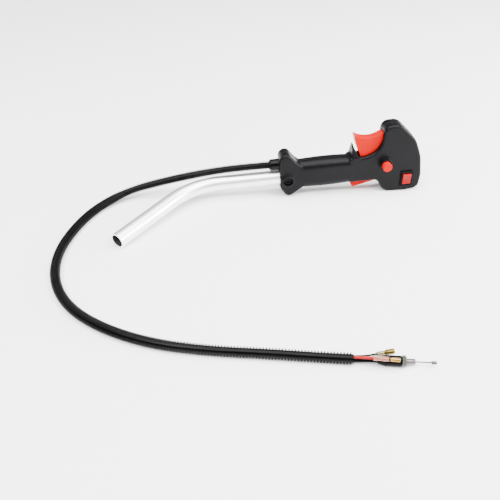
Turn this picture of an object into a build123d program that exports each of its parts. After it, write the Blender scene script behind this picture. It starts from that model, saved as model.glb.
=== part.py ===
from build123d import *
import os
from math import atan2, cos, degrees, pi, radians, sin, tan

# Throttle handle of a brush cutter, with its handlebar tube, conduit, cable and stop-switch leads.
# Millimetres. The handle is drawn in its own frame: origin where the tube enters the boss, +X along
# the tube towards the head, +Z up to the trigger, front face towards -Y. It is then tipped a little
# nose-up, as it rests on a floor with its head, its tube end and its conduit.

os.makedirs("parts", exist_ok=True)

# ---- driving dimensions -------------------------------------------------------------------------
REST_PITCH = 3.1                  # nose-up angle of the handle at rest
MOUTH = (11.3, 44.5, 25.1)        # where the boss mouth sits above the floor, from the row origin
TUBE_R = 9.5                      # 19 mm handlebar tube
TUBE_BORE_R = 8.0
TUBE_INSIDE = 70.0                # length of tube inside the handle
TUBE_NEAR = 75.0                  # straight run from the boss to the bend
TUBE_FAR = 95.0                   # straight run beyond the bend
BEND_R = 90.0
BEND_ANGLE = 47.0
BEND_DIP = 2.64                   # the bend plane dips this much below horizontal
HALF = 12.0                       # half thickness of the boss and head plates
EDGE_R = 3.5                      # rounding of their rims
WALL = 2.6
GRIP_BACK, GRIP_FRONT = 24.0, 96.0
GRIP_Z = 3.0
CLAMP_X = 10.0                    # clamp bolt through boss and tube
GLAND_Z = 18.9
CABLE_Z = 15.5                    # cable inside the handle
CONDUIT_R = 5.6
TRIGGER_PIVOT = (139.0, 47.0)
LEVER_PIVOT = (123.0, -8.5)
BUTTON_AT = (138.0, 10.5)
SWITCH_AT = (168.5, -14.8)
NIPPLE_X = 131.0
PIN_R = 2.0
RUNNING = 0.06                    # radial clearance of a running fit
SCREWS = [(9.5, 29.0), (11.0, -17.4), (98.0, 2.0), (153.0, 50.0), (178.5, 10.0), (147.0, -24.0)]

HEAD_OUTLINE = [
    (90, -13.5, 4), (90, 22.1, 4), (133.5, 22.1, 26), (133.5, 62.6, 10), (154.9, 62.6, 14),
    (176.4, 40.3, 40), (186, 14.8, 60), (189.2, -13, 35), (187, -32, 9), (168, -34.2, 30),
    (143.5, -32.9, 8), (135.8, -26, 12), (129, -13.5, 8),
]
BOSS_OUTLINE = [
    (0, 36.2, 8.2), (12.2, 36.2, 6.5), (22, 23.8, 12), (29, 18, 14), (40, 12.8, 4), (40, -9.8, 4),
    (31, -12.6, 14), (9.6, -26.6, 7), (0, -11.5, 10),
]

# The conduit's route on the floor, from the boss mouth's place on it; the first points come down
# from the gland in one long curve.
CONDUIT_ROUTE = [
    (-13.1, 0, 43.3), (-54, 1, 41.6), (-100, 5, 34.4), (-148, 11, 22.5), (-197, 12, 10.5),
    (-236, -17, 5.6), (-259, -60, 5.6), (-272, -108, 5.6), (-269.5, -156, 5.6), (-249.5, -200, 5.6),
    (-213, -234.5, 5.6), (-164, -261.1, 5.6), (-108, -276.3, 5.6), (-52, -286.1, 5.6), (0, -296.8, 5.6),
    (24.5, -301.1, 5.6),
]
CORD_DIRECTION = atan2(-4.3, 24.5)  # heading of the cable beyond the conduit's end
# Routes of the two leads beyond the conduit's end: (distance along the cable, sideways, height).
RED_ROUTE = [(0.3, -0.4, 8.0), (8, -1.4, 9.2), (16.5, -3.3, 11.3), (27.5, -4.1, 11.7)]
BLACK_ROUTE = [(0.3, 2.2, 6.8), (8, 3.8, 5.6), (16, 7.2, 3.2), (23, 10, 2.62), (31, 12.3, 2.58)]


# ---- helpers ------------------------------------------------------------------------------------
def across(y):
    """Sketch plane at that y. Its x and y are the handle's X and Z, and it extrudes to the front."""
    return Plane.XZ.offset(-y)


def along(x):
    """Sketch plane across the handle at that x. Its x and y are the handle's Y and Z."""
    return Plane.YZ.offset(x)


def plate(outline, half, inset=0.0):
    """Plate from y = half to y = -half, with an outline of (x, z, corner radius) points."""
    with BuildSketch(across(half)) as face:
        with BuildLine():
            FilletPolyline(*[(x, z) for x, z, r in outline], radius=[r for x, z, r in outline], close=True)
        make_face()
        if inset:
            offset(amount=-inset, kind=Kind.INTERSECTION, mode=Mode.REPLACE)
    extrude(face.sketch, amount=2 * half)


def pin_y(place, radius, front, rear, mode=Mode.ADD):
    """Round bar across the handle at (x, z), from y = front to y = rear."""
    with BuildSketch(across(rear)) as disc:
        with Locations(place):
            Circle(radius)
    extrude(disc.sketch, amount=rear - front, mode=mode)


def bar_x(place, radius, start, end, mode=Mode.ADD):
    """Round bar along the handle at (y, z), from x = start to x = end."""
    with BuildSketch(along(start)) as disc:
        with Locations(place):
            Circle(radius)
    extrude(disc.sketch, amount=end - start, mode=mode)


def grip_body(width, height, radius, start, end, swell):
    """Rounded, slightly barrelled grip between two x positions."""
    sections = []
    for x, extra in ((start, 0), ((start + end) / 2, swell), (end, 0)):
        with BuildSketch(along(x)) as section:
            with Locations((0, GRIP_Z)):
                RectangleRounded(width + extra, height + extra, radius)
        sections.append(section.sketch)
    loft(sections)


def corner_radii(route):
    """Radius of each arc of a cord: 0.45 of its shorter run over the tangent of half the turn."""
    points = [Vector(*p) for p in route]
    radii = []
    for before, here, after in zip(points, points[1:], points[2:]):
        turn = (here - before).get_angle(after - here)
        shorter = min((here - before).length, (after - here).length)
        radii.append(0.45 * shorter / tan(radians(turn / 2)))
    return radii


def cord(name, route, radius):
    """Plain tube along the route, with its length, volume and radii printed."""
    radii = corner_radii(route)
    with BuildPart() as tube:
        with BuildLine() as path:
            FilletPolyline(*route, radius=radii)
        with BuildSketch(Plane(origin=path.line @ 0, z_dir=path.line % 0)) as section:
            Circle(radius)
        sweep(section.sketch, path=path.line)
    length = sum(edge.length for edge in path.edges())
    ratio = tube.part.volume / (pi * radius**2 * length)
    print(name, "length", round(length, 1), "volume ratio", round(ratio, 4))
    print("  arc radii", [round(r, 1) for r in radii])
    return tube


def coil(centre, direction, radius, wire, turns, height):
    """Helical spring from centre along direction."""
    with BuildPart() as spring:
        with BuildLine() as path:
            Helix(pitch=height / turns, height=height, radius=radius, center=centre, direction=direction)
        with BuildSketch(Plane(origin=path.line @ 0, z_dir=path.line % 0)) as section:
            Circle(wire)
        sweep(section.sketch, path=path.line)
    return spring


def on_floor(point):
    """A point given from the boss mouth's place on the floor, in the row frame."""
    return (point[0] + MOUTH[0], point[1] + MOUTH[1], point[2])


HANDLE_POSE = Location(MOUTH, (0, -REST_PITCH, 0))
CABLE_POSE = Location(
    on_floor((CONDUIT_ROUTE[-1][0], CONDUIT_ROUTE[-1][1], 0)), (0, 0, degrees(CORD_DIRECTION))
)


def save(piece, node, pose=HANDLE_POSE):
    placed = piece.part.moved(pose)
    placed.label = node
    export_step(placed, f"parts/{node}.step")
    return placed


# ---- shell --------------------------------------------------------------------------------------
# Both halves are drawn as one hollow body and parted at y = 0.
with BuildPart() as plates:
    plate(BOSS_OUTLINE, HALF)
    plate(HEAD_OUTLINE, HALF)
    rims = plates.faces().filter_by(Axis.Y).edges()
    fillet(rims, EDGE_R)

with BuildPart() as grip:
    grip_body(24.2, 37.2, 10.5, GRIP_BACK, GRIP_FRONT, 1.8)

# Pointed guard in front of the trigger: its right side follows the trigger tip's sweep.
with BuildPart() as guard:
    with BuildSketch(across(HALF)):
        with BuildLine():
            Polyline((104.6, 21), (104.6, 18), (94.6, 18), (94.8, 37.8), (95.4, 39), (96.2, 38.1))
            ThreePointArc((96.2, 38.1), (99.2, 29.5), (104.6, 21))
        make_face()
    extrude(amount=2 * HALF)
    with BuildSketch(along(90)):
        with BuildLine():
            Polyline((-1.6, 39.5), (-12, 22), (-12, 18), (12, 18), (12, 22), (1.6, 39.5), close=True)
        make_face()
    extrude(amount=20, mode=Mode.INTERSECT)

with BuildPart() as cavity:
    plate(BOSS_OUTLINE, HALF - WALL, WALL)
    plate(HEAD_OUTLINE, HALF - WALL, WALL)
with BuildPart() as grip_cavity:
    grip_body(21.0, 32.2, 8.5, GRIP_BACK - 2, GRIP_FRONT - 2, 1.8)

with BuildPart() as body:
    add(plates.part)
    add(grip.part)
    add(guard.part)
    add(cavity.part, mode=Mode.SUBTRACT)
    add(grip_cavity.part, mode=Mode.SUBTRACT)
    # socket for the tube, hubs for the clamp bolt, screw posts
    with BuildSketch(along(0)):
        Circle(HALF - 0.1)
    extrude(amount=30)
    pin_y((CLAMP_X, 0), 10, -HALF - 0.8, HALF + 0.8)
    pin_y((CLAMP_X, 0), 8.2, -HALF - 3.5, HALF + 3.5)
    for spot in SCREWS:
        pin_y(spot, 3.2, -HALF + 1, HALF - 1)
    # bearings for the trigger pin and the lever pin, seat for the cable ferrule
    for side in (-1, 1):
        pin_y(TRIGGER_PIVOT, 4.6, min(side * 7.4, side * 10), max(side * 7.4, side * 10))
        pin_y(LEVER_PIVOT, 3.4, min(side * 6.4, side * 10), max(side * 6.4, side * 10))
    with BuildSketch(along(91)):
        with Locations((0, 16)):
            Rectangle(9, 11)
    extrude(amount=5)
    # button collar
    pin_y(BUTTON_AT, 8.2, -HALF - 5.5, -HALF + 0.5)
    pin_y(BUTTON_AT, 6.35, -HALF - 6, -HALF, mode=Mode.SUBTRACT)
    pin_y(BUTTON_AT, 2.06, -HALF - 1, -HALF + 4, mode=Mode.SUBTRACT)
    # bores: tube, clamp bolt with its head and nut recesses, gland, ferrule and inner wire
    bar_x((0, 0), TUBE_R + 0.05, -1, TUBE_INSIDE + 1, mode=Mode.SUBTRACT)
    pin_y((CLAMP_X, 0), 3.1, -HALF, HALF, mode=Mode.SUBTRACT)
    pin_y((CLAMP_X, 0), 6.1, -HALF - 4, -10.2, mode=Mode.SUBTRACT)
    with BuildSketch(across(HALF + 4)):
        with Locations((CLAMP_X, 0)):
            RegularPolygon(5.15, 6, major_radius=False)
    extrude(amount=HALF + 4 - 10.2, mode=Mode.SUBTRACT)
    bar_x((0, GLAND_Z), 6.1, -1, 3, mode=Mode.SUBTRACT)
    bar_x((0, CABLE_Z), 3.2, 90, 94, mode=Mode.SUBTRACT)
    bar_x((0, CABLE_Z), 1.6, 90, 97, mode=Mode.SUBTRACT)
    pin_y(TRIGGER_PIVOT, PIN_R + 0.02, -10.8, 10.8, mode=Mode.SUBTRACT)
    pin_y(LEVER_PIVOT, 1.52, -10.8, 10.8, mode=Mode.SUBTRACT)
    # slot for the trigger, from the guard round to the head's left wall
    with BuildSketch(across(7.2)):
        with BuildLine():
            Polyline((98, 60), (98, 40), (104.7, 22), (104.7, 15), (137, 15), (146, 38), (146, 53.5),
                     (130, 53.5), close=True)
        make_face()
    extrude(amount=14.4, mode=Mode.SUBTRACT)
    # slot for the lever in the underside
    with BuildSketch(across(6.3)):
        with Locations((109.8, -12.5)):
            Rectangle(36.4, 9.4)
    extrude(amount=12.6, mode=Mode.SUBTRACT)
    # cut-out for the switch
    with BuildSketch(across(-HALF + 4)):
        with Locations(SWITCH_AT):
            Rectangle(14.2, 19.8)
    extrude(amount=6, mode=Mode.SUBTRACT)

with BuildPart() as front_shell:
    add(body.part)
    split(bisect_by=Plane.XZ, keep=Keep.TOP)
    for spot in SCREWS:
        pin_y(spot, 1.45, -8.5, 0.5, mode=Mode.SUBTRACT)

with BuildPart() as rear_shell:
    add(body.part)
    split(bisect_by=Plane.XZ, keep=Keep.BOTTOM)
    for spot in SCREWS:
        pin_y(spot, 1.7, -0.5, HALF, mode=Mode.SUBTRACT)
        pin_y(spot, 3.1, HALF - 2.6, HALF + 1, mode=Mode.SUBTRACT)

with BuildPart() as case_screws:
    for spot in SCREWS:
        pin_y(spot, 2.9, HALF - 2.6, HALF - 0.8)
        pin_y(spot, 1.4, -7.5, HALF - 2.6)
        with BuildSketch(across(HALF)):
            with Locations(spot):
                Rectangle(3.2, 0.8)
                Rectangle(0.8, 3.2)
        extrude(amount=1.8, mode=Mode.SUBTRACT)

# ---- tube and clamp -----------------------------------------------------------------------------
bend_side = Vector(0, -cos(radians(BEND_DIP)), -sin(radians(BEND_DIP)))
turn = radians(BEND_ANGLE)
bend_start = Vector(-TUBE_NEAR, 0, 0)
bend_middle = bend_start - Vector(1, 0, 0) * BEND_R * sin(turn / 2) + bend_side * BEND_R * (1 - cos(turn / 2))
bend_end = bend_start - Vector(1, 0, 0) * BEND_R * sin(turn) + bend_side * BEND_R * (1 - cos(turn))
far_direction = Vector(-1, 0, 0) * cos(turn) + bend_side * sin(turn)
tube_end = bend_end + far_direction * TUBE_FAR

with BuildPart() as handlebar_tube:
    with BuildLine() as tube_path:
        Line((TUBE_INSIDE, 0, 0), bend_start)
        ThreePointArc(bend_start, bend_middle, bend_end)
        Line(bend_end, tube_end)
    with BuildSketch(Plane.YZ.offset(TUBE_INSIDE)):
        Circle(TUBE_R)
        Circle(TUBE_BORE_R, mode=Mode.SUBTRACT)
    sweep(path=tube_path.line)
    pin_y((CLAMP_X, 0), 3.1, -TUBE_R - 1, TUBE_R + 1, mode=Mode.SUBTRACT)

with BuildPart() as clamp_bolt:
    pin_y((CLAMP_X, 0), 5.0, -13.2, -10.25)
    pin_y((CLAMP_X, 0), 3.0, -10.25, HALF + 3.4)
    chamfer(clamp_bolt.faces().sort_by(Axis.Y)[0].edges(), 0.4)
    with BuildSketch(across(-11.4)):
        with Locations((CLAMP_X, 0)):
            RegularPolygon(2.5, 6, major_radius=False)
    extrude(amount=3, mode=Mode.SUBTRACT)

with BuildPart() as clamp_nut:
    with BuildSketch(across(HALF + 3.2)):
        with Locations((CLAMP_X, 0)):
            RegularPolygon(5.0, 6, major_radius=False)
            Circle(3.03, mode=Mode.SUBTRACT)
    extrude(amount=4.9)

# ---- gland, cable and leads inside the handle ---------------------------------------------------
with BuildPart() as conduit_gland:
    bar_x((0, GLAND_Z), 7.6, -12, -0.1)
    fillet(conduit_gland.faces().sort_by(Axis.X)[0].edges(), 1.2)
    bar_x((0, GLAND_Z), 6.0, -0.1, 2.8)
    bar_x((0, GLAND_Z), 7.4, 2.8, 5)
    bar_x((0, 0), HALF, 2.8, 5, mode=Mode.SUBTRACT)
    bar_x((0, GLAND_Z), 3.9, -13, 6, mode=Mode.SUBTRACT)

with BuildPart() as cable_outer:
    with BuildLine() as path:
        FilletPolyline(
            (-11.9, 0, GLAND_Z - 1.3), (14, 0, GLAND_Z - 1.3), (40, 0, CABLE_Z), (91.3, 0, CABLE_Z), radius=60
        )
    with BuildSketch(along(-11.9)):
        with Locations((0, GLAND_Z - 1.3)):
            Circle(2.45)
            Circle(0.9, mode=Mode.SUBTRACT)
    sweep(path=path.line)

with BuildPart() as cable_ferrule:
    bar_x((0, CABLE_Z), 3.1, 91.4, 93.9)
    bar_x((0, CABLE_Z), 1.5, 93.9, 97.5)
    bar_x((0, CABLE_Z), 0.9, 91, 98, mode=Mode.SUBTRACT)

with BuildPart() as trigger_wire:
    bar_x((0, CABLE_Z), 0.65, 76, NIPPLE_X)

with BuildPart() as trigger_nipple:
    pin_y((NIPPLE_X, CABLE_Z), 2.5, -3.3, 3.3)
    bar_x((0, CABLE_Z), 0.65, NIPPLE_X - 4, NIPPLE_X, mode=Mode.SUBTRACT)

# Two leads run from the gland down either side of the grip to the switch.
lead_routes = [
    [(-11.9, -1.6, 21.2), (8, -1.6, 21.2), (26, -6.4, 15.8), (50, -7.4, 14), (98, -8.2, 9),
     (130, -8.2, -1), (150, 3, -19.8), (166, 4, -19.8)],
    [(-11.9, 1.6, 21.2), (8, 1.6, 21.2), (26, 6.4, 15.8), (50, 7.4, 14), (98, 8.2, 9.5),
     (128, 8.2, 3), (150, 4.4, -9.8), (166, 4, -9.8)],
]
lead_tubes = [cord("switch lead", route, 0.85) for route in lead_routes]
with BuildPart() as switch_leads:
    for lead in lead_tubes:
        add(lead.part)

# ---- trigger ------------------------------------------------------------------------------------
px, pz = TRIGGER_PIVOT
with BuildPart() as throttle_trigger:
    with BuildSketch(across(6)):
        with BuildLine():
            ThreePointArc((96.4, 52.9), (112, 46.9), (133, 52.6))
            Polyline((133, 52.6), (px + 1, 47), (134, 28), (126, 19.5), (106.8, 19.5), (103.6, 28.6))
            ThreePointArc((103.6, 28.6), (99.2, 40.3), (96.4, 52.9))
        make_face()
    extrude(amount=12)
    long_edges = throttle_trigger.edges().filter_by(GeomType.CIRCLE)
    fillet(long_edges.group_by(Axis.Z)[-1], 2.0)
    # groove that clears the inner wire when the trigger is pulled
    with BuildSketch(across(1.6)):
        with BuildLine():
            Polyline((98, 14), (103.6, 33.5), (112, 42), (132, 44), (142, 30), (136, 14), close=True)
        make_face()
    extrude(amount=3.2, mode=Mode.SUBTRACT)
    # hub and the forked arm that holds the nipple
    pin_y(TRIGGER_PIVOT, 6.0, -6, 3.4)
    with BuildSketch(across(3.4)):
        with BuildLine():
            Polyline((px - 5, 44), (126, 16), (136, 16), (px + 5, 44), close=True)
        make_face()
        with Locations((NIPPLE_X, CABLE_Z)):
            Circle(6.4)
    extrude(amount=6.8)
    with BuildSketch(across(1.1)):
        with BuildLine():
            Polyline((122, 6), (122, 20.5), (142, 20.5), (142, 6), close=True)
        make_face()
    extrude(amount=2.2, mode=Mode.SUBTRACT)
    pin_y((NIPPLE_X, CABLE_Z), 4.0, -8, 8, mode=Mode.SUBTRACT)
    with BuildSketch(across(8)):
        with Locations(TRIGGER_PIVOT):
            Circle(6.2)
    extrude(amount=4.6, mode=Mode.SUBTRACT)
    pin_y(TRIGGER_PIVOT, PIN_R + RUNNING, -8, 8, mode=Mode.SUBTRACT)

with BuildPart() as trigger_pin:
    pin_y(TRIGGER_PIVOT, PIN_R, -10.6, 10.6)

trigger_spring = coil((px, 3.9, pz), (0, 1, 0), 3.2, 0.45, 3, 2.7)

# ---- lock-off lever -----------------------------------------------------------------------------
lx, lz = LEVER_PIVOT
with BuildPart() as lock_lever:
    with BuildSketch(across(5.8)):
        with BuildLine():
            Polyline(
                (93.2, -14.4), (96.8, -22.5), (98.6, -23), (126.6, -16.2), (127, -9), (119, -5.2),
                (112.5, -4.6), (109.6, 2.4), (106.6, 2.4), (106, -6), (97, -8.2), (89, -9.2),
                (89, -11.4), (93, -11.6), close=True,
            )
        make_face()
        with Locations(LEVER_PIVOT):
            Circle(4.6)
    extrude(amount=11.6)
    with BuildSketch(across(6)):
        with Locations(LEVER_PIVOT):
            Circle(5.6)
    extrude(amount=4.4, mode=Mode.SUBTRACT)
    pin_y(LEVER_PIVOT, 1.5 + RUNNING, -7, 7, mode=Mode.SUBTRACT)

with BuildPart() as lock_lever_pin:
    pin_y(LEVER_PIVOT, 1.5, -10.6, 10.6)

lever_spring = coil((lx, 2.2, lz), (0, 1, 0), 2.6, 0.4, 3, 2.9)

# ---- throttle-lock button -----------------------------------------------------------------------
with BuildPart() as lock_button:
    pin_y(BUTTON_AT, 6.0, -HALF - 12, -HALF - 4.6)
    fillet(lock_button.faces().sort_by(Axis.Y)[0].edges(), 0.9)
    pin_y(BUTTON_AT, 4.6, -HALF - 10, -HALF - 4, mode=Mode.SUBTRACT)
    pin_y(BUTTON_AT, PIN_R, -HALF - 11, -8.3)

with BuildPart() as button_clip:
    pin_y(BUTTON_AT, 3.6, -9.3, -8.6)
    pin_y(BUTTON_AT, PIN_R + 0.02, -10, -8, mode=Mode.SUBTRACT)

button_spring = coil((BUTTON_AT[0], -HALF - 9.5, BUTTON_AT[1]), (0, 1, 0), 3.3, 0.35, 5, 9.0)

# ---- stop switch --------------------------------------------------------------------------------
sx, sz = SWITCH_AT
ROCKER_Y = -12.6
ROCKER_TILT = 8.0
with BuildPart() as switch_body:
    with BuildSketch(across(-HALF - 0.05)):
        with Locations(SWITCH_AT):
            RectangleRounded(16, 21.6, 1.2)
    extrude(amount=2)
    chamfer(switch_body.faces().sort_by(Axis.Y)[0].edges(), 0.5)
    with BuildSketch(across(1)):
        with Locations(SWITCH_AT):
            Rectangle(14, 19.6)
    extrude(amount=13.05)
    with BuildSketch(across(-7)):
        with Locations(SWITCH_AT):
            Rectangle(11.6, 15.8)
    extrude(amount=8, mode=Mode.SUBTRACT)
    bar_x((ROCKER_Y, sz), 1.02, sx - 6.6, sx + 6.6, mode=Mode.SUBTRACT)

# Rocker: a disc about its pin, cut by two facets in front and a flat behind, and tilted at rest.
tilt = radians(ROCKER_TILT)
with BuildPart() as switch_rocker:
    with BuildSketch(Plane(origin=(sx - 5.5, ROCKER_Y, sz), x_dir=(0, cos(tilt), sin(tilt)), z_dir=(1, 0, 0))):
        Circle(7.5)
        with BuildLine():
            Polyline((-20, -10), (-3.9, -10), (-2.5, 0), (-3.9, 10), (-20, 10), close=True)
        make_face(mode=Mode.SUBTRACT)
        with Locations((8, 0)):
            Rectangle(10, 20, mode=Mode.SUBTRACT)
    extrude(amount=11)
    bar_x((ROCKER_Y, sz), 1.0 + RUNNING, sx - 7, sx + 7, mode=Mode.SUBTRACT)

with BuildPart() as rocker_pin:
    bar_x((ROCKER_Y, sz), 1.0, sx - 6.5, sx + 6.5)

with BuildPart() as switch_terminals:
    for dz in (-5, 5):
        with BuildSketch(across(7)):
            with Locations((sx, sz + dz)):
                Rectangle(4.8, 0.8)
        extrude(amount=6)

# ---- conduit and what comes out of it -----------------------------------------------------------
conduit = cord("conduit", [on_floor(p) for p in CONDUIT_ROUTE], CONDUIT_R)
AXIS_Z = 5.2

# From here each piece is drawn along +X from the conduit's end, and turned to the cable's heading.
with BuildPart() as cable_outer_end:
    with BuildSketch(Plane(origin=(0, 0, 4.1), z_dir=(29, 0, AXIS_Z - 4.1))):
        Circle(2.3)
    extrude(amount=29)
    split(bisect_by=Plane.YZ, keep=Keep.TOP)

with BuildPart() as cable_boot:
    with BuildSketch(Plane.XZ):
        with BuildLine():
            Polyline((22.6, AXIS_Z), (22.6, AXIS_Z + 3.2), (29, AXIS_Z + 5.1), (44.2, AXIS_Z + 5.1),
                     (44.2, AXIS_Z), close=True)
        make_face()
    revolve(axis=Axis((0, 0, AXIS_Z), (1, 0, 0)))
    fillet(cable_boot.edges().filter_by(GeomType.CIRCLE).group_by(Axis.X)[1], 4)
    fillet(cable_boot.faces().sort_by(Axis.X)[-1].edges(), 0.8)
    bar_x((0, AXIS_Z), 2.6, 22, 29.4, mode=Mode.SUBTRACT)
    bar_x((0, AXIS_Z), 1.4, 29, 36, mode=Mode.SUBTRACT)
    bar_x((0, AXIS_Z), 2.95, 35.8, 45, mode=Mode.SUBTRACT)

with BuildPart() as cable_adjuster:
    bar_x((0, AXIS_Z), 2.9, 36, 44.4)
    with BuildSketch(Plane.XZ):
        with BuildLine():
            thread = [(44.4, AXIS_Z), (44.4, AXIS_Z + 2.6)]
            for tooth in range(12):
                start = 44.5 + tooth
                thread += [(start + 0.4, AXIS_Z + 2.95), (start + 0.6, AXIS_Z + 2.95), (start + 1, AXIS_Z + 2.6)]
            Polyline(*thread, (57, AXIS_Z + 2.4), (57, AXIS_Z), close=True)
        make_face()
    revolve(axis=Axis((0, 0, AXIS_Z), (1, 0, 0)))
    bar_x((0, AXIS_Z), 1.0, 35, 58, mode=Mode.SUBTRACT)

with BuildPart() as adjuster_nut:
    with BuildSketch(along(44.5)):
        with Locations((0, AXIS_Z)):
            RegularPolygon(5.0, 6, major_radius=False)
            Circle(3.0, mode=Mode.SUBTRACT)
    extrude(amount=3.8)
    with BuildSketch(Plane.XZ):
        with BuildLine():
            Polyline((44.5, AXIS_Z), (44.5, AXIS_Z + 5.1), (45.2, AXIS_Z + 5.9), (47.6, AXIS_Z + 5.9),
                     (48.3, AXIS_Z + 5.1), (48.3, AXIS_Z), close=True)
        make_face()
    revolve(axis=Axis((0, 0, AXIS_Z), (1, 0, 0)), mode=Mode.INTERSECT)

with BuildPart() as carb_wire:
    bar_x((0, AXIS_Z), 0.65, 42.5, 75.5)

with BuildPart() as end_nipple:
    bar_x((0, AXIS_Z), 1.6, 72, 76.5)
    chamfer(end_nipple.edges().filter_by(GeomType.CIRCLE), 0.3)
    bar_x((0, AXIS_Z), 0.65, 71.5, 75.5, mode=Mode.SUBTRACT)

red_wire = cord("red wire", RED_ROUTE, 1.4)
black_wire = cord("black wire", BLACK_ROUTE, 0.9)


def connector_plane(route, distance):
    """Plane across a lead's last run, that far past the run's first point."""
    start, end = Vector(*route[-2]), Vector(*route[-1])
    heading = (end - start).normalized()
    return Plane(origin=start + heading * distance, z_dir=heading)


def turned(plane, steps, bore=0.0, bore_length=0.0):
    """Stepped round piece: (radius, length) steps from the plane, with a bore from its far end."""
    total = 0.0
    for radius, length in steps:
        with BuildSketch(plane.offset(total)) as disc:
            Circle(radius)
        extrude(disc.sketch, amount=length)
        total += length
    if bore:
        with BuildSketch(plane.offset(total)) as disc:
            Circle(bore)
        extrude(disc.sketch, amount=-bore_length, mode=Mode.SUBTRACT)


with BuildPart() as red_sleeve:
    turned(connector_plane(RED_ROUTE, 1), [(2.2, 14)], 1.65, 14)
with BuildPart() as bullet_male:
    turned(connector_plane(RED_ROUTE, 11.1), [(1.5, 4.0), (2.1, 0.9), (1.6, 0.8), (1.95, 8.4)])
    fillet(bullet_male.edges().filter_by(GeomType.CIRCLE).sort_by(Axis.X)[-1], 0.9)
with BuildPart() as black_sleeve:
    turned(connector_plane(BLACK_ROUTE, 0.6), [(1.9, 6.6)], 1.15, 6.6)
with BuildPart() as bullet_female:
    turned(connector_plane(BLACK_ROUTE, 8.4), [(1.7, 0.9), (2.45, 8.2)], 2.0, 7.4)

# ---- export -------------------------------------------------------------------------------------
in_handle = {
    "front_shell": front_shell, "rear_shell": rear_shell, "case_screws": case_screws,
    "handlebar_tube": handlebar_tube, "clamp_bolt": clamp_bolt, "clamp_nut": clamp_nut,
    "conduit_gland": conduit_gland, "cable_outer": cable_outer, "cable_ferrule": cable_ferrule,
    "trigger_wire": trigger_wire, "trigger_nipple": trigger_nipple, "switch_leads": switch_leads,
    "throttle_trigger": throttle_trigger, "trigger_pin": trigger_pin, "trigger_spring": trigger_spring,
    "lock_lever": lock_lever, "lock_lever_pin": lock_lever_pin, "lever_spring": lever_spring,
    "lock_button": lock_button, "button_clip": button_clip, "button_spring": button_spring,
    "switch_body": switch_body, "switch_rocker": switch_rocker, "rocker_pin": rocker_pin,
    "switch_terminals": switch_terminals,
}
beyond_conduit = {
    "cable_outer_end": cable_outer_end, "cable_boot": cable_boot, "cable_adjuster": cable_adjuster,
    "adjuster_nut": adjuster_nut, "carb_wire": carb_wire, "end_nipple": end_nipple,
    "red_wire": red_wire, "red_sleeve": red_sleeve, "bullet_male": bullet_male,
    "black_wire": black_wire, "black_sleeve": black_sleeve, "bullet_female": bullet_female,
}
placed = [save(piece, node) for node, piece in in_handle.items()]
save(conduit, "conduit", Location())
for node, piece in beyond_conduit.items():
    save(piece, node, CABLE_POSE)

box = Compound(children=placed).bounding_box()
print("handle and tube", box.min, box.max)
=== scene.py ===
from math import cos, pi, radians, sin

import bmesh
import bpy
from mathutils import Matrix, Vector


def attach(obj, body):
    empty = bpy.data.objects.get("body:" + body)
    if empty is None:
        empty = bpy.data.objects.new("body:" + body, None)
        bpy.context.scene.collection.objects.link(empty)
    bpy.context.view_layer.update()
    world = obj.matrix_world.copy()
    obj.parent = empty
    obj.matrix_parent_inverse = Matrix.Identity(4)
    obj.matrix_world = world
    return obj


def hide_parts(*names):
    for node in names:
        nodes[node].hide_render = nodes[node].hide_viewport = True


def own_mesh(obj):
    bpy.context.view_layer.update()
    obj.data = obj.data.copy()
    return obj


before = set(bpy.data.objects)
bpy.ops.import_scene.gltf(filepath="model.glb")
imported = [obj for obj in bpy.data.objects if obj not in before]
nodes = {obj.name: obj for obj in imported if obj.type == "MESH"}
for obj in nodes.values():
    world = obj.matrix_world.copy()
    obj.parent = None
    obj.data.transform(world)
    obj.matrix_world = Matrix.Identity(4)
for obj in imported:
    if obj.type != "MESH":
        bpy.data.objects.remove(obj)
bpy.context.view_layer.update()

# Throttle handle of a brush cutter. The handle's own frame, in millimetres, starts where the tube
# enters the boss, with +X towards the head, +Z up and the switch side towards -Y. It rests nose-up.
MM = 0.001
MOUTH = Vector((11.3, 44.5, 25.1)) * MM
REST_PITCH = radians(3.1)
HANDLE = Matrix.Translation(MOUTH) @ Matrix.Rotation(-REST_PITCH, 4, "Y")
FLOOR_POINT = Vector((MOUTH.x, MOUTH.y, 0))

# ---- camera -----------------------------------------------------------------------------------------
camera = bpy.data.objects.new("camera", bpy.data.cameras.new("camera"))
camera.data.sensor_width = 36
camera.data.lens = 41.3
camera.location = FLOOR_POINT + Vector((-109.8, -647.5, 410)) * MM
camera.rotation_euler = Vector((0.0868, 0.7865, -0.6112)).to_track_quat("-Z", "Y").to_euler()
bpy.context.scene.collection.objects.link(camera)
bpy.context.scene.camera = camera


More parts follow.
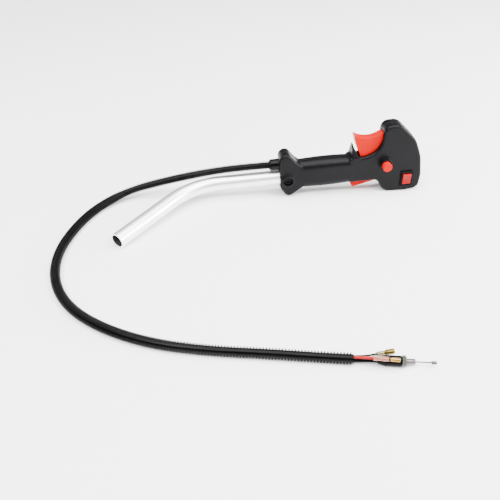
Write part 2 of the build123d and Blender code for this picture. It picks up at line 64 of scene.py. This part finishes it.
# ---- materials --------------------------------------------------------------------------------------
def surface(name, tints, roughness, metallic=0.0, patch=45.0, grain=1500.0, bump=0.2, depth=0.0002,
            spread=0.1, specular=0.5, transmission=0.0, rounding=0.0):
    """Principled material: two tints in soft patches, uneven roughness, a fine grain and softened edges."""
    material = bpy.data.materials.new(name)
    material.use_nodes = True
    tree = material.node_tree
    shader = tree.nodes["Principled BSDF"]
    shader.inputs["Metallic"].default_value = metallic
    shader.inputs["Specular IOR Level"].default_value = specular
    shader.inputs["Transmission Weight"].default_value = transmission

    def node(kind, **settings):
        made = tree.nodes.new(kind)
        for key, value in settings.items():
            if key in made.inputs:
                made.inputs[key].default_value = value
            else:
                setattr(made, key, value)
        return made

    place = node("ShaderNodeTexCoord")
    patches = node("ShaderNodeTexNoise", Scale=patch, Detail=4.0)
    grains = node("ShaderNodeTexNoise", Scale=grain, Detail=2.0)
    ramp = node("ShaderNodeValToRGB")
    ramp.color_ramp.elements[0].position = 0.32
    ramp.color_ramp.elements[1].position = 0.68
    for element, tint in zip(ramp.color_ramp.elements, tints):
        element.color = (*tint, 1)
    rough = node("ShaderNodeMapRange", **{
        "From Min": 0.3, "From Max": 0.7, "To Min": roughness - spread / 2, "To Max": roughness + spread / 2,
    })
    relief = node("ShaderNodeBump", Strength=bump, Distance=depth)
    link = tree.links.new
    link(place.outputs["Object"], patches.inputs["Vector"])
    link(place.outputs["Object"], grains.inputs["Vector"])
    link(patches.outputs["Fac"], ramp.inputs["Fac"])
    link(ramp.outputs["Color"], shader.inputs["Base Color"])
    link(grains.outputs["Fac"], rough.inputs["Value"])
    link(rough.outputs["Result"], shader.inputs["Roughness"])
    link(grains.outputs["Fac"], relief.inputs["Height"])
    link(relief.outputs["Normal"], shader.inputs["Normal"])
    if rounding:
        edges = node("ShaderNodeBevel", Radius=rounding)
        edges.samples = 8
        link(edges.outputs["Normal"], relief.inputs["Normal"])
    return material


# Moulded plastics. The two tints are close, so that the patches only show as unevenness.
SHELL = surface("shell_black", [(0.0007, 0.0007, 0.0011), (0.0013, 0.0013, 0.002)], 0.36,
                patch=30, bump=0.55, depth=0.0003, specular=0.1, rounding=0.0018)
RED = surface("signal_red", [(0.34, 0.001, 0.0002), (0.38, 0.0018, 0.0003)], 0.3,
              grain=700, bump=0.04, specular=0.03)
GLOSS_RED = surface("rocker_red", [(0.2, 0.001, 0.0004), (0.24, 0.0016, 0.0008)], 0.2,
                    grain=500, bump=0.03, specular=0.12)
CONDUIT = surface("conduit_black", [(0.0003, 0.0003, 0.0004), (0.0006, 0.0006, 0.0007)], 0.2,
                  grain=900, bump=0.05, specular=0.1)
RUBBER = surface("rubber_black", [(0.0003, 0.0003, 0.0004), (0.0007, 0.0007, 0.0008)], 0.22,
                 grain=1200, bump=0.08, specular=0.06)
SWITCH = surface("switch_black", [(0.0006, 0.0006, 0.0008), (0.001, 0.001, 0.0012)], 0.36,
                 grain=900, bump=0.04, specular=0.05)
RED_LEAD = surface("lead_red", [(0.24, 0.0012, 0.0006), (0.28, 0.002, 0.001)], 0.3,
                   grain=900, bump=0.05, specular=0.15)
BLACK_LEAD = surface("lead_black", [(0.001, 0.001, 0.001), (0.0016, 0.0016, 0.0016)], 0.3,
                     grain=900, bump=0.05, specular=0.15)
PINK_VINYL = surface("vinyl_pink", [(0.6, 0.2, 0.12), (0.75, 0.36, 0.26)], 0.2,
                     patch=300, grain=900, bump=0.06, transmission=0.75)
YELLOW_VINYL = surface("vinyl_yellow", [(0.3, 0.22, 0.05), (0.42, 0.33, 0.12)], 0.2,
                       patch=300, grain=900, bump=0.06, transmission=0.75)
# Metals
ALUMINIUM = surface("satin_aluminium", [(0.9, 0.9, 0.9), (0.97, 0.97, 0.97)], 0.38,
                    metallic=1.0, patch=25, grain=900, bump=0.12, spread=0.12)
# raw aluminium of the tube's bore; its dark colour is painted shade
BORE_PAINTED_SHADE = surface("bore_painted_shade", [(0.05, 0.05, 0.05), (0.09, 0.09, 0.09)], 0.6,
                         metallic=1.0, patch=60)
ZINC = surface("zinc_steel", [(0.16, 0.16, 0.16), (0.27, 0.265, 0.255)], 0.3,
               metallic=1.0, patch=220, grain=1800, bump=0.1)
DARK_ZINC = surface("dull_zinc", [(0.06, 0.06, 0.06), (0.1, 0.1, 0.098)], 0.34,
                    metallic=1.0, patch=300, grain=1800)
DARK_STEEL = surface("dark_steel", [(0.004, 0.004, 0.0045), (0.008, 0.008, 0.0085)], 0.4,
                     metallic=1.0, patch=220)
WIRE = surface("wire_steel", [(0.05, 0.05, 0.05), (0.09, 0.09, 0.088)], 0.34,
               metallic=1.0, patch=400, grain=2500)
BRASS = surface("brass", [(0.3, 0.165, 0.025), (0.42, 0.25, 0.05)], 0.26,
                metallic=1.0, patch=260, grain=1600, bump=0.08)
AGED_BRASS = surface("aged_brass", [(0.07, 0.045, 0.009), (0.15, 0.1, 0.02)], 0.3,
                     metallic=1.0, patch=260, grain=1600, bump=0.08)
FLOOR = surface("floor_white", [(0.86, 0.86, 0.86), (0.88, 0.88, 0.88)], 0.9,
                patch=2, grain=60, bump=0.02, specular=0.1)

# ---- floor and light --------------------------------------------------------------------------------
floor_mesh = bpy.data.meshes.new("floor")
floor_mesh.from_pydata([(-6, -6, 0), (6, -6, 0), (6, 6, 0), (-6, 6, 0)], [], [(0, 1, 2, 3)])
floor = bpy.data.objects.new("floor", floor_mesh)
floor_mesh.materials.append(FLOOR)
bpy.context.scene.collection.objects.link(floor)

world = bpy.data.worlds.new("studio")
world.use_nodes = True
world.node_tree.nodes["Background"].inputs["Color"].default_value = (1, 1, 1, 1)
world.node_tree.nodes["Background"].inputs["Strength"].default_value = 0.65
bpy.context.scene.world = world


def softbox(name, place, target, size, power):
    """Rectangular area light at place, turned to target, of size metres and power watts."""
    light = bpy.data.lights.new(name, "AREA")
    light.shape = "RECTANGLE"
    light.size, light.size_y = size
    light.energy = power
    box = bpy.data.objects.new(name, light)
    box.location = place
    box.rotation_euler = (Vector(target) - Vector(place)).to_track_quat("-Z", "Y").to_euler()
    bpy.context.scene.collection.objects.link(box)


softbox("ceiling", (0, -0.3, 2.4), (0, 0, 0), (3.6, 2.6), 330)
softbox("key", (-0.7, -0.8, 1.2), (0, -0.05, 0), (0.5, 0.4), 22)
softbox("right", (1.5, -0.1, 0.55), (0.1, 0, 0.05), (1.6, 0.8), 60)
softbox("glint over the head", (0.65, -0.6, 1.1), (0.15, 0.03, 0.06), (0.3, 0.3), 14)
softbox("glint beside the boss", (1.28, -0.26, 0.42), (0.04, 0.03, 0.05), (0.4, 0.4), 16)


# ---- building blocks --------------------------------------------------------------------------------
def handle_point(x, y, z):
    """A point of the handle's own frame, given in millimetres."""
    return HANDLE @ (Vector((x, y, z)) * MM)


def length_of(line):
    """Length of a line of points."""
    return sum((after - before).length for before, after in zip(line, line[1:]))


def finish_piece(obj, material, body="handle", stands_for=()):
    """Gives a piece its material and its body, and hides the CAD nodes it stands for."""
    obj.data.materials.append(material)
    if stands_for:
        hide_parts(*stands_for)
    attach(obj, body)
    return obj


def mesh_object(name, points, faces):
    """Smooth-shaded mesh that keeps its sharp edges."""
    mesh = bpy.data.meshes.new(name)
    mesh.from_pydata(points, [], faces)
    mesh.validate()
    mesh.polygons.foreach_set("use_smooth", [True] * len(mesh.polygons))
    mesh.set_sharp_from_angle(angle=radians(50))
    obj = bpy.data.objects.new(name, mesh)
    bpy.context.scene.collection.objects.link(obj)
    return obj


def spline_curve(name, points, radius=0.0):
    """NURBS curve whose control points are the route's points."""
    curve = bpy.data.curves.new(name, "CURVE")
    curve.dimensions = "3D"
    curve.resolution_u = 24
    spline = curve.splines.new("NURBS")
    spline.points.add(len(points) - 1)
    for control, point in zip(spline.points, points):
        control.co = (*point, 1)
    spline.order_u = 3
    spline.use_endpoint_u = True
    curve.bevel_depth = radius
    curve.bevel_resolution = 6
    curve.use_fill_caps = True
    obj = bpy.data.objects.new(name, curve)
    bpy.context.scene.collection.objects.link(obj)
    return obj


def spline_points(points):
    """Points along the route's NURBS curve, close together."""
    guide = spline_curve("guide", points)
    bpy.context.view_layer.update()
    line = bpy.data.meshes.new_from_object(guide)
    read = [vertex.co.copy() for vertex in line.vertices]
    bpy.data.objects.remove(guide)
    return read


def station(line, distance):
    """(point, heading) at a distance along a line of points."""
    travelled, index = 0.0, 0
    run = line[1] - line[0]
    while index < len(line) - 2 and travelled + run.length < distance:
        travelled += run.length
        index += 1
        run = line[index + 1] - line[index]
    heading = run.normalized()
    return line[index] + heading * (distance - travelled), heading


def skin(name, rings, segments=24, caps=True):
    """Tube through rings of (centre, heading, radius), turned without twist from ring to ring."""
    points, faces = [], []
    side = rings[0][1].orthogonal().normalized()
    for centre, heading, radius in rings:
        side = (side - heading * side.dot(heading)).normalized()
        other = heading.cross(side)
        for step in range(segments):
            angle = 2 * pi * step / segments
            points.append(centre + (side * cos(angle) + other * sin(angle)) * radius)
    count = len(rings)
    for ring in range(count - 1):
        first, second = ring * segments, (ring + 1) * segments
        for step in range(segments):
            after = (step + 1) % segments
            faces.append((first + step, first + after, second + after, second + step))
    if caps:
        faces.append(tuple(reversed(range(segments))))
        faces.append(tuple(range((count - 1) * segments, count * segments)))
    return mesh_object(name, points, faces)


def join(objects, name):
    """One object from several mesh objects."""
    merged = bmesh.new()
    for obj in objects:
        merged.from_mesh(obj.data)
        bpy.data.objects.remove(obj)
    mesh = bpy.data.meshes.new(name)
    merged.to_mesh(mesh)
    merged.free()
    obj = bpy.data.objects.new(name, mesh)
    bpy.context.scene.collection.objects.link(obj)
    return obj


# ---- cords ------------------------------------------------------------------------------------------
# The conduit's route from the mouth's place on the floor, in metres, as in the CAD model.
CONDUIT_ROUTE = [
    Vector(p) * MM + FLOOR_POINT
    for p in [
        (-13.1, 0, 43.3), (-54, 1, 41.6), (-100, 5, 34.4), (-148, 11, 22.5), (-197, 12, 10.5),
        (-236, -17, 5.6), (-259, -60, 5.6), (-272, -108, 5.6), (-269.5, -156, 5.6), (-249.5, -200, 5.6),
        (-213, -234.5, 5.6), (-164, -261.1, 5.6), (-108, -276.3, 5.6), (-52, -286.1, 5.6), (0, -296.8, 5.6),
        (24.5, -301.1, 5.6),
    ]
]
CONDUIT_R, CONDUIT_GROOVE_R, CONDUIT_BORE_R = 5.6 * MM, 4.1 * MM, 3.9 * MM
SHOULDER_R = CONDUIT_R - 0.3 * MM
RIB_PITCH = 3.0 * MM
# one rib and groove: (part of the pitch, radius)
RIB = [
    (0.0, SHOULDER_R), (0.12, CONDUIT_R), (0.34, CONDUIT_R), (0.46, SHOULDER_R),
    (0.56, CONDUIT_GROOVE_R), (0.9, CONDUIT_GROOVE_R),
]
# The cable's frame beyond the conduit's end, on the floor: X ahead, Y aside and Z up.
AHEAD = Vector((24.5, -4.3, 0)).normalized()
CABLE = Matrix.Translation(CONDUIT_ROUTE[-1]) @ AHEAD.to_track_quat("X", "Z").to_matrix().to_4x4()
CABLE.translation.z = 0


def cable_point(along, aside, height):
    """A point of the cable's frame, given in millimetres."""
    return CABLE @ (Vector((along, aside, height)) * MM)


conduit_line = spline_points(CONDUIT_ROUTE)
conduit_length = length_of(conduit_line)
rib_count = int(conduit_length / RIB_PITCH)
pitch = conduit_length / rib_count
cuts = [((rib + part) * pitch, radius) for rib in range(rib_count) for part, radius in RIB]
cuts.append((conduit_length, SHOULDER_R))
# the open end turns in and runs back down the bore
cuts.extend((conduit_length - back * MM, CONDUIT_BORE_R) for back in (0, 2, 6, 14))
rings = [(*station(conduit_line, distance), radius) for distance, radius in cuts]
conduit = skin("conduit_corrugated", rings)
finish_piece(conduit, CONDUIT, stands_for=["conduit"])

# Routes of the two leads and the cable's outer beyond the conduit, in millimetres of the cable's frame.
RED_ROUTE = [(-5, 0.2, 7.6), (0.3, -0.4, 8.0), (8, -1.4, 9.2), (16.5, -3.3, 11.3), (27.5, -4.1, 11.7)]
BLACK_ROUTE = [
    (-5, 1.7, 6.9), (0.3, 2.2, 6.8), (8, 3.8, 5.6), (16, 7.2, 3.2), (23, 10, 2.62), (31, 12.3, 2.58),
]
OUTER_ROUTE = [(-5, -0.3, 4.0), (2, -0.2, 4.1), (16, 0, 4.7), (29, 0, 5.2)]


def lead(name, route, radius, material, node):
    """A wire or cable beyond the conduit, drawn along its route."""
    obj = spline_curve(name, [cable_point(*p) for p in route], radius * MM)
    return finish_piece(obj, material, stands_for=[node])


def route_length(route):
    """A lead's length in metres, along its NURBS spline."""
    return length_of(spline_points([cable_point(*p) for p in route]))


red_lead = lead("red_lead", RED_ROUTE, 1.4, RED_LEAD, "red_wire")
black_lead = lead("black_lead", BLACK_ROUTE, 0.9, BLACK_LEAD, "black_wire")
outer_lead = lead("cable_outer_lead", OUTER_ROUTE, 2.3, RUBBER, "cable_outer_end")

route_length(RED_ROUTE)
route_length(BLACK_ROUTE)
route_length(OUTER_ROUTE)

# ---- bore of the tube -------------------------------------------------------------------------------
# The tube's bend in the handle's frame: a straight run back, an arc aside and a straight run to its end.
TUBE_BEND_START = Vector((-75, 0, 0))
TUBE_BEND_R, TUBE_BEND_ANGLE, TUBE_FAR_RUN, TUBE_DIP = 90, radians(47), 95, radians(2.64)
back = Vector((-1, 0, 0))
aside = Vector((0, -cos(TUBE_DIP), -sin(TUBE_DIP)))
far_heading = back * cos(TUBE_BEND_ANGLE) + aside * sin(TUBE_BEND_ANGLE)
bend_end = (TUBE_BEND_START + back * TUBE_BEND_R * sin(TUBE_BEND_ANGLE)
            + aside * TUBE_BEND_R * (1 - cos(TUBE_BEND_ANGLE)))
open_end = bend_end + far_heading * TUBE_FAR_RUN
# a skin just inside the bore, darkened as painted shade, which closes 60 mm in as a painted dark end where
# the real tube stays open
bore_heading = (HANDLE.to_3x3() @ far_heading).normalized()
bore_rings = [
    (handle_point(*(open_end - far_heading * inset)), bore_heading, radius * MM)
    for inset, radius in [(0.4, 7.95), (20, 7.95), (60, 7.95), (60, 0.5)]
]
tube_bore = skin("tube_bore_painted_shade", bore_rings, segments=48, caps=False)
finish_piece(tube_bore, BORE_PAINTED_SHADE)

# ---- collar of the male bullet ----------------------------------------------------------------------
collar_start, collar_end = (cable_point(*p) for p in RED_ROUTE[-2:])
collar_heading = (collar_end - collar_start).normalized()
collar_rings = [
    (collar_start + collar_heading * distance * MM, collar_heading, radius * MM)
    for distance, radius in [(14.9, 1.6), (14.9, 2.25), (16.2, 2.25), (16.2, 1.7)]
]
finish_piece(skin("bullet_collar", collar_rings, segments=32), BLACK_LEAD)

# ---- bare throttle wire at the carburettor end ------------------------------------------------------
# six strands laid round a core
WIRE_START, WIRE_END, WIRE_HEIGHT = 42.5, 75.5, 5.2
STRAND_R, LAY_R, LAY_LENGTH = 0.215, 0.43, 7.0
STRAND_STEPS = 100
strands = []
for strand in range(7):
    offset = LAY_R if strand < 6 else 0
    strand_rings = []
    for step in range(STRAND_STEPS):
        along = WIRE_START + (WIRE_END - WIRE_START) * step / (STRAND_STEPS - 1)
        angle = 2 * pi * (along / LAY_LENGTH + strand / 6)
        centre = cable_point(along, offset * cos(angle), WIRE_HEIGHT + offset * sin(angle))
        strand_rings.append((centre, AHEAD, STRAND_R * MM))
    strands.append(skin("strand", strand_rings, segments=10))
carb_strands = join(strands, "throttle_wire_strands")
finish_piece(carb_strands, WIRE, body="carburettor_wire", stands_for=["carb_wire"])

# ---- button's return spring -------------------------------------------------------------------------
# It is drawn at one length, from its free end to its fixed end.
SPRING_X, SPRING_Z, SPRING_R, SPRING_WIRE_R = 138, 10.5, 3.3, 0.35
SPRING_FREE_Y, SPRING_FIXED_Y, SPRING_COILS, SPRING_STEPS = -21.5, -12.5, 5, 160
coil_points = []
for step in range(SPRING_STEPS + 1):
    angle = 2 * pi * SPRING_COILS * step / SPRING_STEPS
    depth = SPRING_FREE_Y + (SPRING_FIXED_Y - SPRING_FREE_Y) * step / SPRING_STEPS
    across, up = SPRING_R * cos(angle), SPRING_R * sin(angle)
    coil_points.append(handle_point(SPRING_X + across, depth, SPRING_Z + up))
coil_rings = [
    (centre, (after - before).normalized(), SPRING_WIRE_R * MM)
    for before, centre, after in zip(coil_points, coil_points[1:], coil_points[2:])
]
button_coil = skin("button_coil", coil_rings, segments=10)
finish_piece(button_coil, ZINC, stands_for=["button_spring"])
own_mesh(button_coil)

# ---- carried-over nodes -----------------------------------------------------------------------------
FINISHES = {
    SHELL: ["front_shell", "rear_shell"],
    RED: ["throttle_trigger", "lock_lever", "lock_button"],
    GLOSS_RED: ["switch_rocker"],
    CONDUIT: ["conduit_gland"],
    RUBBER: ["cable_outer", "cable_boot"],
    SWITCH: ["switch_body"],
    BLACK_LEAD: ["switch_leads"],
    PINK_VINYL: ["red_sleeve"],
    YELLOW_VINYL: ["black_sleeve"],
    ALUMINIUM: ["handlebar_tube"],
    ZINC: [
        "case_screws", "clamp_nut", "trigger_pin", "trigger_spring", "lock_lever_pin", "lever_spring",
        "button_clip", "rocker_pin", "cable_adjuster", "adjuster_nut",
    ],
    DARK_ZINC: ["end_nipple"],
    DARK_STEEL: ["clamp_bolt"],
    WIRE: ["trigger_wire"],
    BRASS: ["cable_ferrule", "trigger_nipple", "switch_terminals", "bullet_male"],
    AGED_BRASS: ["bullet_female"],
}
# widths in millimetres of the rounded edges that show
EDGE_WIDTHS = {
    "front_shell": 0.35, "rear_shell": 0.35, "throttle_trigger": 0.5, "lock_lever": 0.5, "lock_button": 0.3,
    "switch_rocker": 0.3, "conduit_gland": 0.4, "adjuster_nut": 0.15, "clamp_nut": 0.25,
}
for material, names in FINISHES.items():
    for name in names:
        nodes[name].data.materials.clear()
        nodes[name].data.materials.append(material)
for name, width in EDGE_WIDTHS.items():
    bevel = nodes[name].modifiers.new("edges", "BEVEL")
    bevel.width = width * MM
    bevel.segments = 3
    bevel.limit_method = "ANGLE"
    bevel.angle_limit = radians(35)
    bevel.harden_normals = True
